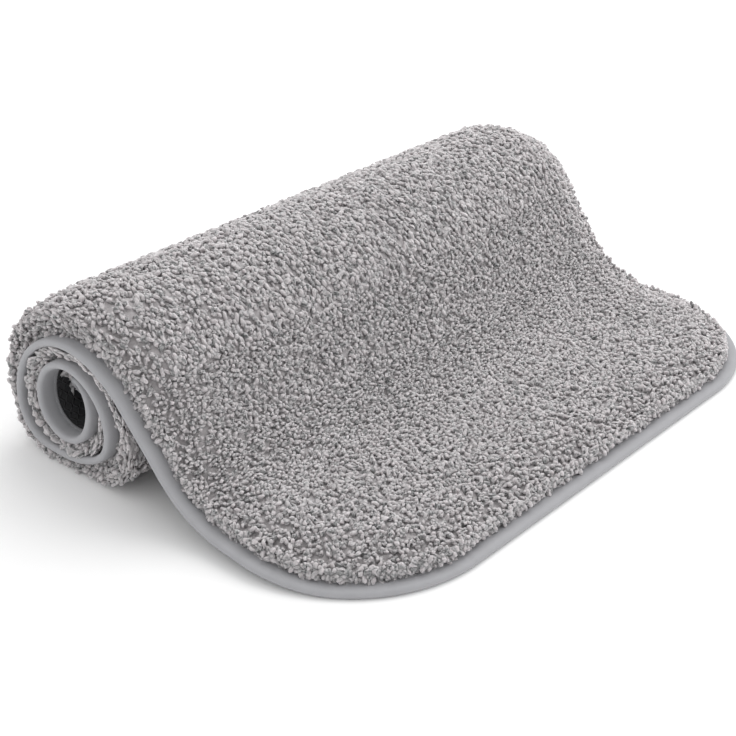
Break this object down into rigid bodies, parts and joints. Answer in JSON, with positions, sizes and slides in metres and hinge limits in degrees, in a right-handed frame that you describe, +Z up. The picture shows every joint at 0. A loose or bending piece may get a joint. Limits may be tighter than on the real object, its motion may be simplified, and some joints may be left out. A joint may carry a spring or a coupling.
{
  "type": "bath mat",
  "caption": "Rectangular tufted bath mat with rounded corners, a bound edge and a non-slip mesh back, partly rolled up with the pile outside.",
  "frame": {"origin": "centre of the bounding box's bottom face, on the floor that the mat lies on", "axes": "+X along the roll, +Y from the mat's flat front edge to the roll, +Z up"},
  "size_m": [0.4, 0.277, 0.102],
  "materials": {
    "pile": "warm grey curly microfibre tufts, matt",
    "tape": "smooth cool grey woven tape, faint satin sheen",
    "thread": "grey polyester sewing thread",
    "cloth": "plain woven primary backing, light grey",
    "coat": "soft adhesive coat, matt charcoal",
    "mesh": "charcoal non-slip diamond mesh, soft and matt"
  },
  "bodies": {
    "roll": {"pile_roll": "pile", "nonslip_mesh_roll": "mesh", "adhesive_coat_roll": "coat", "backing_cloth_roll": "cloth", "binding_tape_roll": "tape", "binding_thread_roll": "thread"},
    "flap": {"pile_flap": "pile", "nonslip_mesh_flap": "mesh", "adhesive_coat_flap": "coat", "backing_cloth_flap": "cloth", "binding_tape_flap": "tape", "binding_thread_flap": "thread"}
  },
  "joints": [
    {"name": "flap_lift", "type": "hinge", "parent": "roll", "child": "flap", "pos_m": [0, -0.05251, 0], "axis": [-1, 0, 0], "range_deg": [0, 30]}
  ]
}
